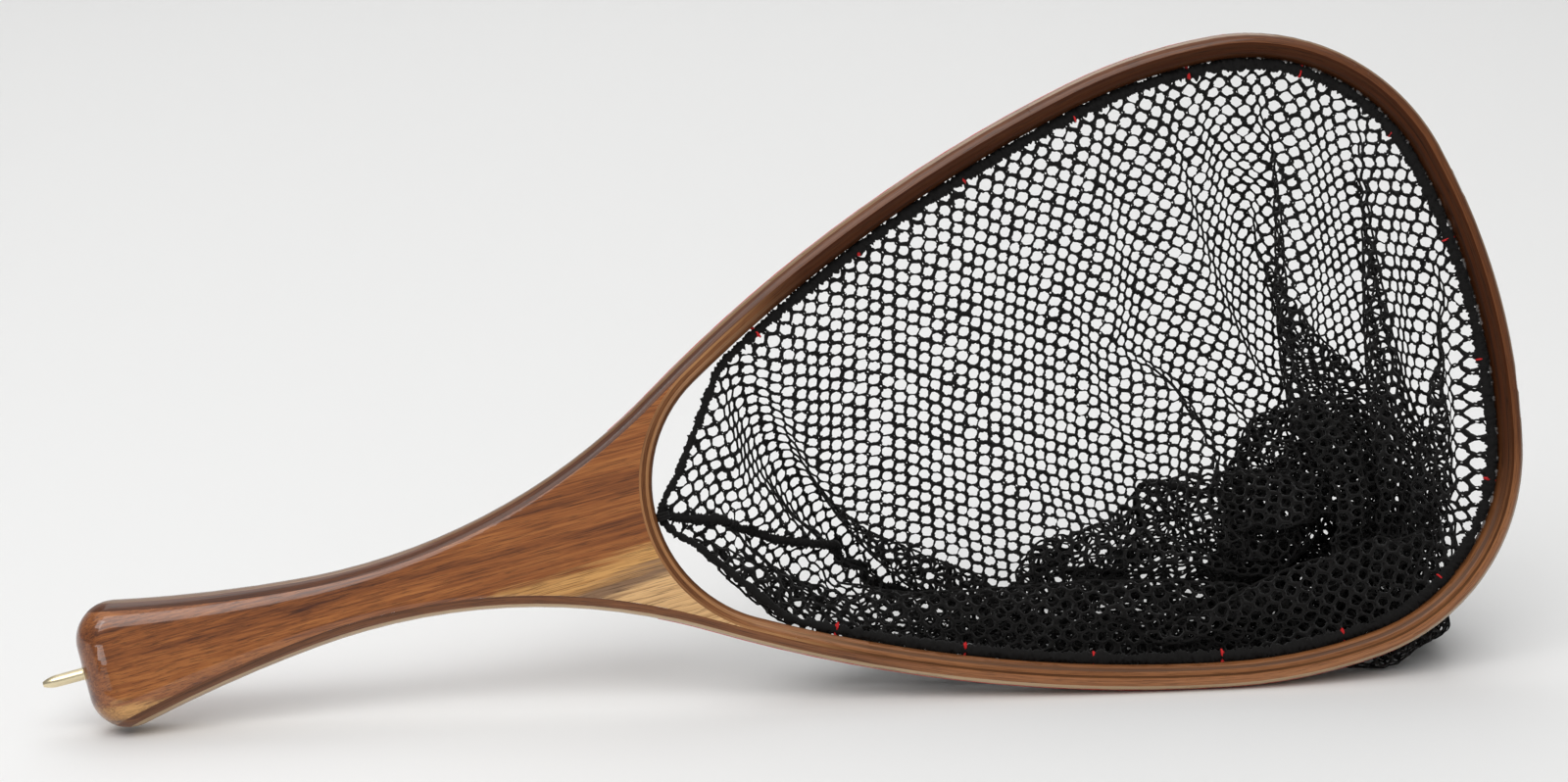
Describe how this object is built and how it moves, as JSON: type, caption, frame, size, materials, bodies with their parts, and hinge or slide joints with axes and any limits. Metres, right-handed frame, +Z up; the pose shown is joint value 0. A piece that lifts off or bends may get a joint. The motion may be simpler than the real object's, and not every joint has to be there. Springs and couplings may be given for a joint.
{
  "type": "landing net",
  "caption": "Wooden trout landing net with a laminated teardrop hoop, a shaped handle and a gathered netting bag, standing on its edge.",
  "frame": {"origin": "centre of the footprint's box, on the surface that the net stands on", "axes": "+Z up, -Y towards the open mouth, +X from the handle towards the tip of the hoop"},
  "size_m": [0.6165, 0.111, 0.2628],
  "materials": {
    "walnut": "gloss",
    "maple": "gloss",
    "brass": "satin",
    "red_cord": "matte",
    "netting": "matte"
  },
  "bodies": {
    "root": {"handle_core": "walnut", "inner_walnut_strip": "walnut", "middle_walnut_strip": "walnut", "outer_walnut_strip": "walnut", "inner_maple_strip": "maple", "middle_maple_strip": "maple", "outer_maple_strip": "maple", "butt_stud": "brass", "stud_insert": "brass", "stud_collar": "brass", "lacing_cord": "red_cord", "lacing_loops": "red_cord", "hem_cord": "netting", "throat_tie": "netting", "bag_side_panel": "netting", "bag_bottom_panel": "netting", "bottom_seam": "netting", "side_seam": "netting"}
  },
  "joints": []
}
